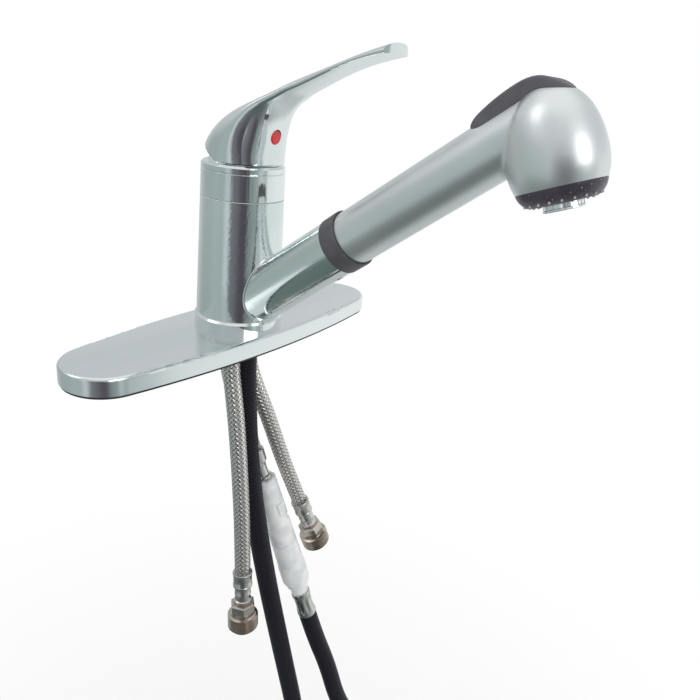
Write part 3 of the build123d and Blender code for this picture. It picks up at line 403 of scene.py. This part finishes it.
materials = {
    "bodyChrome": metalFinish(
        "bodyChrome", (0.70, 0.755, 0.745), (0.80, 0.835, 0.83), 0.060, 0.04, (1, 1, 0.035),
        grain=620.0, lift=0.00022),
    "handleChrome": metalFinish(
        "handleChrome", (0.72, 0.765, 0.76), (0.81, 0.84, 0.84), 0.085, 0.05, (1, 0.05, 0.3),
        alongHandle, 520.0, 0.00012),
    "plateChrome": metalFinish(
        "plateChrome", (0.75, 0.78, 0.785), (0.81, 0.835, 0.84), 0.17, 0.08, (0.05, 1, 1),
        grain=520.0, lift=0.00005),
    "tubeChrome": metalFinish(
        "tubeChrome", (0.69, 0.755, 0.74), (0.79, 0.83, 0.825), 0.065, 0.04, (1, 0.035, 1),
        alongSpout, 620.0, 0.00022),
    "trimChrome": metalFinish("trimChrome", (0.80, 0.82, 0.82), (0.88, 0.90, 0.90), 0.10, 0.05),
    "nickelPlate": metalFinish("nickelPlate", (0.44, 0.38, 0.33), (0.62, 0.565, 0.51), 0.20, 0.10),
    "ferruleSteel": metalFinish("ferruleSteel", (0.56, 0.53, 0.51), (0.74, 0.71, 0.69), 0.23, 0.10),
    "castBrass": metalFinish(
        "castBrass", (0.60, 0.43, 0.20), (0.74, 0.58, 0.31), 0.42, 0.18, lift=0.00008),
    "turnedSteel": metalFinish("turnedSteel", (0.52, 0.52, 0.52), (0.66, 0.66, 0.65), 0.28, 0.12),
    "satinSilver": satinFinish(),
    "charcoal": plasticFinish("charcoal", (0.060, 0.058, 0.066), (0.088, 0.086, 0.096), 0.50),
    "padCharcoal": plasticFinish("padCharcoal", (0.075, 0.072, 0.084), (0.105, 0.102, 0.116), 0.58, 1300.0),
    "sprayFace": faceFinish(),
    "blackRubber": plasticFinish("blackRubber", (0.022, 0.022, 0.025), (0.040, 0.040, 0.044), 0.72, 700.0),
    "nubRubber": plasticFinish("nubRubber", (0.30, 0.29, 0.32), (0.44, 0.43, 0.46), 0.55, 1500.0),
    "greyPlastic": plasticFinish("greyPlastic", (0.42, 0.43, 0.44), (0.52, 0.53, 0.54), 0.48),
    "whitePlastic": plasticFinish("whitePlastic", (0.74, 0.74, 0.71), (0.83, 0.83, 0.80), 0.42),
    "ceramic": plasticFinish("ceramic", (0.80, 0.79, 0.75), (0.88, 0.87, 0.84), 0.20, 2400.0, 0.00001),
    "redButton": plasticFinish(
        "redButton", (0.62, 0.012, 0.012), (0.78, 0.03, 0.025), 0.22, 500.0, 0.00002, Coat_Weight=0.4),
    "milkyPlastic": milkyFinish(),
    "steelBraid": braidFinish(
        "steelBraid", (0.90, 0.845, 0.82), (0.035, 0.027, 0.026), 11, 0.0036, 3, 1.0, 0.22, 0.0007),
    "nylonBraid": braidFinish(
        "nylonBraid", (0.013, 0.011, 0.021), (0.001, 0.001, 0.002), 16, 0.0030, 3, 0.0, 0.40, 0.0009,
        Specular_IOR_Level=0.24),
}

nodeFinishes = {
    "bodyChrome": ("bonnet", "base_ring"),
    "tubeChrome": ("spout_body",),
    "handleChrome": ("handle",),
    "plateChrome": ("deck_plate",),
    "satinSilver": ("wand_shell",),
    "charcoal": ("hose_guide", "wand_tail", "plate_frame"),
    "padCharcoal": ("toggle_pad",),
    "sprayFace": ("spray_face",),
    "nubRubber": ("spray_nozzles",),
    "trimChrome": ("aerator_housing",),
    "blackRubber": ("deck_gasket", "cartridge_seals", "hose_washer", "face_seal", "connector_o_ring",
                    "coil_tie"),
    "greyPlastic": ("cartridge_base", "cartridge_housing", "head_core", "aerator_insert"),
    "whitePlastic": ("lower_bush", "upper_bush", "stem_carrier", "disc_carrier", "waterway_tube",
                     "check_valve_poppet"),
    "ceramic": ("fixed_disc", "moving_disc"),
    "castBrass": ("valve_body", "cartridge_nut", "diverter_stem"),
    "turnedSteel": ("guide_screw", "toggle_pin", "diverter_spring", "stem_pin", "cartridge_stem",
                    "handle_screw", "check_valve_spring"),
    "nickelPlate": ("hose_nipples", "hose_end_fitting", "hot_inlet_fitting", "cold_inlet_fitting"),
    "ferruleSteel": ("hot_ferrule", "cold_ferrule", "outlet_ferrule", "hose_ferrule"),
    "redButton": ("index_button",),
    "milkyPlastic": ("connector_socket", "connector_plug"),
    "steelBraid": ("hot_supply_hose", "cold_supply_hose", "outlet_hose"),
    "nylonBraid": ("inner_hose", "hose_down", "hose_coil", "hose_up"),
}


def paint(piece, finish):
    piece.data.materials.clear()
    piece.data.materials.append(materials[finish])


for finish, names in nodeFinishes.items():
    for name in names:
        paint(nodes[name], finish)
print("finishes made")


# Turned ends of the hoses: outlines as height and radius in millimetres, along the hose's last run
hotFerrule = {
    "outline": [(0, 0), (0, 7.0), (0.5, 7.4), (1.6, 7.4), (2.2, 7.0), (10.6, 6.9), (11.2, 7.3), (12.4, 7.2),
                (13.2, 6.1), (18.2, 5.9), (18.8, 6.2), (19.6, 6.2), (20.2, 5.9), (24.2, 5.9), (24.8, 6.6),
                (26.4, 6.7), (27.2, 6.2), (27.6, 5.4), (27.9, 5.4), (27.9, 0)],
    "slot": "steel", "finish": "ferruleSteel",
}
inletFitting = {
    "outline": [(27.4, 0), (27.4, 7.2), (28.6, 7.2), (35.6, 8.2), (36.1, 8.2), (36.3, 9.6), (51.4, 9.6),
                (52.2, 9.0), (52.2, 5.2), (39, 5.0), (39, 0)],
    "hexagon": [(28.0, 0), (28.0, 8.7), (28.8, 9.8), (34.9, 9.8), (35.7, 8.9), (35.7, 0)],
    "thread": {
        "root": 9.2, "crest": 11.65, "pitch": 2.1, "from": 37.5, "turns": 6.4,
        "foot": 0.48, "land": 0.10,     # half widths at the root and the crest, as shares of the pitch
        "fadeSteps": 14,
    },
    "slot": "nickel_plate", "finish": "nickelPlate",
}
outletFerrule = {
    "outline": [(0, 0), (0, 7.0), (0.6, 7.3), (9.8, 7.2), (11.2, 6.0), (16, 5.4), (22.6, 5.5), (23.4, 6.8),
                (24.6, 7.1), (25.8, 6.7), (26.6, 5.6), (30, 5.5), (30, 0)],
    "slot": "steel", "finish": "ferruleSteel",
}
connector = {
    "socket": [(0.2, 0), (0.2, 6.4), (0, 8.7), (0.9, 9.5), (16.8, 9.75), (17.3, 9.5), (18.4, 9.5),
               (18.9, 9.8), (36, 9.95), (37.6, 9.1), (40.4, 8.9), (41.6, 9.6), (43, 10.1), (61.2, 10.3),
               (61.9, 9.9), (61.9, 0)],
    "plug": [(62, 0), (62, 10.0), (62.7, 10.4), (72, 10.5), (84, 10.8), (86.6, 11.3), (101.6, 11.3),
             (103, 10.8), (103.8, 9.7), (108, 9.3), (108.8, 8.0), (109.4, 7.5), (115, 7.3), (115.8, 6.9),
             (115.8, 0)],
    "startsAt": 0.0265,     # past the outlet hose's end
    "ferruleAt": 0.116,     # past the connector's start
    "tabs": 4, "tabSize": (0.0022, 0.0052, 0.011), "tabEdge": 0.0007, "tabPlace": (0.0094, 0, 0.0275),
    "slot": "milky_plastic", "finish": "milkyPlastic",
}
hoseFerrule = {
    "outline": [(0, 0), (0, 6.5), (0.5, 7.5), (2.2, 8.0), (4.4, 7.8), (6.6, 7.1), (10, 6.9), (16, 6.9),
                (19, 7.2), (21.6, 7.9), (23.6, 8.1), (24.8, 7.8), (24.9, 0)],
    "waist": (6.0, 19.5),
    "slot": "steel", "finish": "ferruleSteel",
}


mergeGap = 0.000005


def endFrame(points, shift=0.0):
    way = (points[-1] - points[-2]).normalized()
    return Matrix.Translation(points[-1] + way * shift) @ way.to_track_quat("Z", "Y").to_matrix().to_4x4()


def shaped(piece, seat, angle=38):
    # Closes the mesh, turns its faces outwards, smooths it and puts it where it belongs
    bpy.ops.object.select_all(action="DESELECT")
    bpy.context.view_layer.objects.active = piece
    piece.select_set(True)
    bpy.ops.object.mode_set(mode="EDIT")
    bpy.ops.mesh.select_all(action="SELECT")
    bpy.ops.mesh.remove_doubles(threshold=mergeGap)
    bpy.ops.mesh.normals_make_consistent(inside=False)
    bpy.ops.object.mode_set(mode="OBJECT")
    bpy.ops.object.shade_smooth_by_angle(angle=math.radians(angle))
    piece.data.transform(seat)
    return piece


def turned(name, outline, sides=72):
    # Spun round Z from its outline
    mesh = bpy.data.meshes.new(name)
    spots = [(radius / 1000, 0, height / 1000) for height, radius in outline]
    mesh.from_pydata(spots, [(index, index + 1) for index in range(len(spots) - 1)], [])
    piece = bpy.data.objects.new(name, mesh)
    bpy.context.scene.collection.objects.link(piece)
    bpy.ops.object.select_all(action="DESELECT")
    bpy.context.view_layer.objects.active = piece
    piece.select_set(True)
    bpy.ops.object.mode_set(mode="EDIT")
    bpy.ops.mesh.select_all(action="SELECT")
    bpy.ops.mesh.spin(steps=sides, angle=2 * math.pi, center=(0, 0, 0), axis=(0, 0, 1))
    bpy.ops.object.mode_set(mode="OBJECT")
    return piece


def ridge(name, thread, steps=40):
    # One closed ridge wound round Z, which grows out of the core and sinks back into it
    vertices, faces = [], []
    root, pitch = thread["root"], thread["pitch"]
    foot, land = thread["foot"], thread["land"]
    fade = thread["fadeSteps"]
    count = round(thread["turns"] * steps)
    for index in range(count + 1):
        angle = 2 * math.pi * index / steps
        height = thread["from"] + pitch * index / steps
        grown = min(1, index / fade, (count - index) / fade)
        crest = root + (thread["crest"] - root) * grown
        for radius, lift in ((root, -foot), (crest, -land), (crest, land), (root, foot)):
            spot = Vector((math.cos(angle) * radius, math.sin(angle) * radius, height + lift * pitch))
            vertices.append(spot / 1000)
        if index:
            low, high = 4 * (index - 1), 4 * index
            for side in range(4):
                beside = (side + 1) % 4
                faces.append((low + side, low + beside, high + beside, high + side))
    faces += [(0, 1, 2, 3), tuple(4 * count + side for side in range(4))]
    mesh = bpy.data.meshes.new(name)
    mesh.from_pydata(vertices, [], faces)
    piece = bpy.data.objects.new(name, mesh)
    bpy.context.scene.collection.objects.link(piece)
    return piece


def joined(name, parts):
    bpy.ops.object.select_all(action="DESELECT")
    for part in parts:
        part.select_set(True)
    bpy.context.view_layer.objects.active = parts[0]
    bpy.ops.object.join()
    parts[0].name = name
    return parts[0]


def dressed(piece, detail, body, *replaced):
    paint(piece, detail["finish"])
    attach(piece, body)
    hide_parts(*replaced)
    return piece


def makeInlet(name, points, replaced):
    parts = [
        turned(name, inletFitting["outline"]),
        turned(name + "Hexagon", inletFitting["hexagon"], 6),
        ridge(name + "Thread", inletFitting["thread"]),
    ]
    return dressed(shaped(joined(name, parts), endFrame(points), 30), inletFitting, "base", replaced)


def makeEnd(name, detail, seat, *replaced):
    return dressed(shaped(turned(name, detail["outline"]), seat), detail, "base", *replaced)


def pinched(piece, waist, count=8, depth=0.00035):
    # Crimp marks round a ferrule's waist
    low, high = (height / 1000 for height in waist)
    for vertex in piece.data.vertices:
        if low < vertex.co.z < high:
            swing = math.cos(count * math.atan2(vertex.co.y, vertex.co.x))
            reach = math.hypot(vertex.co.x, vertex.co.y)
            share = (reach + depth * swing) / reach
            vertex.co.x *= share
            vertex.co.y *= share
    return piece


def makeConnector():
    seat = endFrame(outletHose["points"], connector["startsAt"])
    socket = turned("connectorSocket", connector["socket"])
    tabs = []
    for index in range(connector["tabs"]):
        bpy.ops.object.select_all(action="DESELECT")
        bpy.ops.mesh.primitive_cube_add(size=1)
        tab = bpy.context.object
        bpy.ops.object.mode_set(mode="EDIT")
        bpy.ops.mesh.select_all(action="SELECT")
        bpy.ops.transform.resize(value=connector["tabSize"])
        bpy.ops.mesh.bevel(offset=connector["tabEdge"], segments=3, affect="EDGES")
        bpy.ops.object.mode_set(mode="OBJECT")
        turn = Matrix.Rotation(2 * math.pi * (index + 0.5) / connector["tabs"], 4, "Z")
        tab.data.transform(turn @ Matrix.Translation(connector["tabPlace"]))
        tabs.append(tab)
    socket = shaped(joined("connectorSocket", [socket, *tabs]), seat)
    plug = shaped(turned("connectorPlug", connector["plug"]), seat)
    dressed(socket, connector, "base", "connector_socket")
    dressed(plug, connector, "base", "connector_plug")
    tail = seat @ Matrix.Translation((0, 0, connector["ferruleAt"]))
    ferrule = turned("sprayHoseFerrule", hoseFerrule["outline"])
    ferrule = shaped(pinched(ferrule, hoseFerrule["waist"]), tail)
    dressed(ferrule, hoseFerrule, "base", "hose_ferrule")
    return socket, plug, ferrule


hotPieces = [
    makeEnd("hotHoseFerrule", hotFerrule, endFrame(hotHose["points"]), "hot_ferrule"),
    makeInlet("hotInletThreaded", hotHose["points"], "hot_inlet_fitting"),
]
coldPieces = [
    makeEnd("coldHoseFerrule", hotFerrule, endFrame(coldHose["points"]), "cold_ferrule"),
    makeInlet("coldInletThreaded", coldHose["points"], "cold_inlet_fitting"),
]
connectorSocket, connectorPlug, sprayHoseFerrule = makeConnector()
outletPieces = [
    makeEnd("outletHoseFerrule", outletFerrule, endFrame(outletHose["points"]), "outlet_ferrule"),
    connectorSocket, connectorPlug,
    nodes["connector_o_ring"], nodes["check_valve_poppet"], nodes["check_valve_spring"],
]
print("hose ends made")


def hangHose(name, hose, replaced, finish):
    line = smoothLine(hose["points"])
    tube = tubeOn(name, line, hose["radius"])
    paint(tube, finish)
    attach(tube, "base")
    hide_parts(*replaced)
    2 * hose["radius"]
    return tube


# Spray face and aerator, about the spray axis from the black face's edge
sprayNubs = {
    "rings": ((16.9, 5.7, 20), (12.9, 6.95, 10)),      # radius, height of the face there, count
    "outline": [(0, 0), (0, 0.45), (0.2, 0.58), (0.5, 0.58), (0.75, 0.4), (0.85, 0)],
    "slot": "grey_rubber", "finish": "nubRubber",
}
aeratorRing = {
    "outline": [(-0.2, 8.3), (-0.2, 9.6), (7.2, 9.6), (7.4, 9.1), (9.3, 9.1), (9.45, 9.3), (9.5, 9.6),
                (10.2, 9.65), (10.5, 9.4), (10.55, 8.9), (10.3, 8.4), (-0.2, 8.3)],
    "notches": {"count": 14, "low": 7.3, "high": 9.4, "depth": 0.9, "outside": 8.9, "share": 0.42},
    "slot": "polished_chrome", "finish": "trimChrome",
}
headFrame = Matrix.Translation(headMiddle) @ sprayWay.to_track_quat("Z", "Y").to_matrix().to_4x4()


def makeNubs():
    nubs = []
    for reach, height, count in sprayNubs["rings"]:
        for index in range(count):
            nub = turned("sprayNubs", sprayNubs["outline"], 14)
            angle = 2 * math.pi * index / count
            place = (math.cos(angle) * reach / 1000, math.sin(angle) * reach / 1000, height / 1000)
            nub.data.transform(Matrix.Translation(place))
            nubs.append(nub)
    return dressed(shaped(joined("sprayNubs", nubs), headFrame, 60), sprayNubs, "wand")


def makeAerator():
    ring = turned("aeratorRing", aeratorRing["outline"], 168)
    notches = aeratorRing["notches"]
    low, high, depth, outside = (notches[key] / 1000 for key in ("low", "high", "depth", "outside"))
    for vertex in ring.data.vertices:
        reach = math.hypot(vertex.co.x, vertex.co.y)
        angle = math.atan2(vertex.co.y, vertex.co.x) / (2 * math.pi) * notches["count"]
        if low < vertex.co.z < high and reach > outside and angle % 1 < notches["share"]:
            share = (reach - depth) / reach
            vertex.co.x *= share
            vertex.co.y *= share
    return dressed(shaped(ring, headFrame, 30), aeratorRing, "wand", "aerator_housing")


makeNubs()
makeAerator()

# Raised bead where the spout leaves the sleeve
spoutBead = {
    "tubeRadius": 0.0171,
    "sleeve": (0.0274, 0.0259, 0.020, 0.0946),     # radius low and high, and their heights
    "radius": 0.0007,
    "reach": 150, "step": 3,        # degrees to each side of the top
    "searchTo": 0.08, "closeness": 0.00001,     # of the walk along the spout to the sleeve's wall
    "clearOfRing": 0.0004,
    "slot": "polished_chrome", "finish": "trimChrome",
}


def makeBead(bead):
    lowRadius, topRadius, low, top = bead["sleeve"]
    other = spoutWay.cross(Vector((1, 0, 0)))
    line = []
    for step in range(-bead["reach"], bead["reach"] + 1, bead["step"]):
        angle = math.radians(step + 90)
        side = (Vector((1, 0, 0)) * math.cos(angle) + other * math.sin(angle)) * bead["tubeRadius"]
        near, far = 0.0, bead["searchTo"]
        while far - near > bead["closeness"]:
            middle = (near + far) / 2
            spot = spoutFoot + spoutWay * middle + side
            wall = lowRadius + (topRadius - lowRadius) * (spot.z - low) / (top - low)
            near, far = (near, middle) if math.hypot(spot.x, spot.y) > wall else (middle, far)
        line.append(spot)
    line = [spot for spot in line if spot.z > low + bead["clearOfRing"]]
    piece = tubeOn("spoutBead", line, bead["radius"], 12)
    return dressed(piece, bead, "spout")


makeBead(spoutBead)

# The hose inside the spout, which pays out as the wand is pulled
innerHose = {
    "points": [
        spoutFoot + spoutWay * 0.060, spoutFoot + spoutWay * 0.050, spoutFoot + spoutWay * 0.028,
        Vector((0.002, -0.0063, 0.0236)), Vector((0.002, -0.0063, 0.010)), Vector((0.002, -0.0063, 0)),
    ],
    "radius": 0.0076,
    "overlap": 0.0002,                          # into the wand's hose fitting, so that no slit shows
    "staysUntil": 0.020, "goesFrom": 0.0595,    # along the spout: still with it, and already with the wand
    "slot": "nylon_braid", "finish": "nylonBraid",
}


def makeInnerHose(hose):
    points = hose["points"]
    points[0] = points[0] + spoutWay * hose["overlap"]
    line = smoothLine(points, 16)
    tube = tubeOn("innerBraidedHose", line, hose["radius"])
    paint(tube, hose["finish"])
    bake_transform(tube)
    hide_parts("inner_hose")


makeInnerHose(innerHose)
print("head, bead and inner hose made")

hangHose("hotBraidedHose", hotHose, ["hot_supply_hose"], "steelBraid")
hangHose("coldBraidedHose", coldHose, ["cold_supply_hose"], "steelBraid")
hangHose("outletBraidedHose", outletHose, ["outlet_hose"], "steelBraid")
hangHose("braidedSprayHose", sprayHose, ["hose_down", "hose_coil", "hose_up"],
         "nylonBraid")
print("hoses hung")


# Pale studio: a floor under the hanging hose, a soft sky and broad lamps
studio = {
    "floorHeight": -0.622,
    "floorSize": 14.0,
    "floorColour": (0.95, 0.95, 0.95),
    "fadeFrom": 0.22,       # distance from under the tap where the floor starts to fade to white
    "fadeTo": 0.75,
}

# What polished metal shows of the room, by bearing round from the camera, left side first
roomBands = [
    (0.00, (0.66, 0.69, 0.70)), (0.10, (0.56, 0.60, 0.60)), (0.17, (0.42, 0.46, 0.46)),
    (0.24, (0.40, 0.47, 0.46)), (0.30, (0.44, 0.51, 0.51)), (0.355, (0.42, 0.49, 0.49)),
    (0.385, (0.62, 0.68, 0.70)), (0.40, (0.60, 0.65, 0.67)), (0.425, (0.20, 0.215, 0.23)),
    (0.46, (0.17, 0.165, 0.185)), (0.50, (0.095, 0.085, 0.105)), (0.53, (0.09, 0.08, 0.10)),
    (0.555, (0.24, 0.28, 0.28)), (0.60, (0.32, 0.38, 0.37)), (0.622, (0.56, 0.66, 0.64)),
    (0.645, (0.38, 0.46, 0.45)), (0.675, (0.42, 0.48, 0.48)), (0.70, (0.84, 0.90, 0.89)),
    (0.80, (0.90, 0.94, 0.94)), (0.92, (0.88, 0.92, 0.92)), (1.00, (0.66, 0.69, 0.70)),
]
floorBands = [
    (0.00, (0.44, 0.47, 0.47)), (0.16, (0.24, 0.29, 0.28)), (0.30, (0.17, 0.22, 0.21)),
    (0.44, (0.10, 0.125, 0.125)), (0.55, (0.16, 0.18, 0.18)), (0.68, (0.42, 0.46, 0.46)),
    (0.84, (0.62, 0.66, 0.66)), (1.00, (0.44, 0.47, 0.47)),
]

roomEdges = {
    "cameraTurn": 135.4,            # turns the camera's bearing to the middle of the bands
    "ground": (-0.42, -0.66),       # sines of the elevations between which one tone gives way to the next
    "wall": (0.10, 0.42),
    "ceiling": (0.70, 0.92),
}
# Bright panes that give the spray head its two highlights: edges by bearing and by height, and level
roomPanes = [
    {"left": (0.54, 0.57), "right": (0.66, 0.62), "low": (0.08, 0.22), "high": (0.68, 0.54), "level": 3.0},
    {"left": (0.19, 0.23), "right": (0.31, 0.28), "low": (0.46, 0.56), "high": (0.86, 0.78), "level": 2.0},
]


def makeStudio(studio):
    bpy.ops.object.select_all(action="DESELECT")
    bpy.ops.mesh.primitive_plane_add(size=studio["floorSize"], location=(0, 0, studio["floorHeight"]))
    floor = bpy.context.object
    floor.name = "studioFloor"
    floor.visible_glossy = False
    finish = Finish("floorPaper", Roughness=0.9, Specular_IOR_Level=0.1)
    speck = finish.noise(9.0)
    level = studio["floorColour"]
    finish.wear(Base_Color=finish.mix(speck, tuple(0.985 * part for part in level), level))
    spot = finish.add("ShaderNodeTexCoord", output=3)
    away = finish.add("ShaderNodeVectorMath", {"operation": "LENGTH"}, {0: spot}, output=1)
    seen = finish.add("ShaderNodeLightPath", output=0)
    fade = seen * finish.stepped(away, studio["fadeFrom"], studio["fadeTo"])
    glow = finish.add("ShaderNodeEmission", {}, {"Color": (1, 1, 1, 1), "Strength": 1.0})
    lit = Value(finish, finish.shader.outputs[0])
    blend = finish.add("ShaderNodeMixShader", {}, {0: fade, 1: lit, 2: glow})
    finish.tree.links.new(blend.socket, finish.tree.nodes["Material Output"].inputs["Surface"])
    floor.data.materials.append(finish.material)


def makeSky():
    # White to the eye, soft light for plain surfaces, and a dim streaked room for polished metal
    world = bpy.data.worlds.new("studioSky")
    bpy.context.scene.world = world
    world.use_nodes = True
    sky = Wiring(world.node_tree)
    behind = sky.add("ShaderNodeTexCoord", output=0)
    turn = (0, 0, math.radians(roomEdges["cameraTurn"]))
    way = sky.add("ShaderNodeMapping", {}, {"Vector": behind, "Rotation": turn})
    east, north, height = (sky.add("ShaderNodeSeparateXYZ", {}, {0: way}, output=index) for index in range(3))
    bearing = north.maths("ARCTAN2", east) / (2 * math.pi) + 0.5
    room = sky.add("ShaderNodeValToRGB", {"stops": roomBands}, {0: bearing})
    ground = sky.add("ShaderNodeValToRGB", {"stops": floorBands}, {0: bearing})
    room = sky.mix(sky.stepped(height, *roomEdges["ground"]), room, ground)
    room = sky.mix(sky.stepped(height, *roomEdges["wall"]), room, (0.63, 0.66, 0.68))
    room = sky.mix(sky.stepped(height, *roomEdges["ceiling"]), room, (0.92, 0.94, 0.94))
    for pane in roomPanes:
        across = sky.stepped(bearing, *pane["left"]) * sky.stepped(bearing, *pane["right"])
        inside = across * sky.stepped(height, *pane["low"]) * sky.stepped(height, *pane["high"])
        room = sky.mix(inside, room, (pane["level"],) * 3)
    plain, shiny = (sky.add("ShaderNodeLightPath", output=index) for index in (2, 3))
    light = sky.mix(plain, (1.0, 1.0, 1.0), (0.80, 0.80, 0.80))
    background = world.node_tree.nodes["Background"]
    sky.join(background.inputs["Color"], sky.mix(shiny, light, room))
    background.inputs["Strength"].default_value = 1.0


def makeLamp(name, place, size, power):
    # Lights plain surfaces only, so that it leaves no hard patch on the chrome
    data = bpy.data.lights.new(name, "AREA")
    data.shape = "RECTANGLE"
    data.size, data.size_y = size
    data.energy = power
    lamp = bpy.data.objects.new(name, data)
    lamp.location = place
    aim = tapMiddle - Vector(place)
    lamp.rotation_euler = aim.to_track_quat("-Z", "Y").to_euler()
    lamp.visible_glossy = False
    bpy.context.scene.collection.objects.link(lamp)


makeStudio(studio)
makeSky()
makeLamp("softOverhead", (0.3, -0.4, 1.6), (1.4, 1.4), 9)
makeLamp("softSide", (-1.3, 0.5, 0.9), (0.9, 1.2), 5)
bpy.context.scene.view_settings.view_transform = "Standard"
print("studio lit")
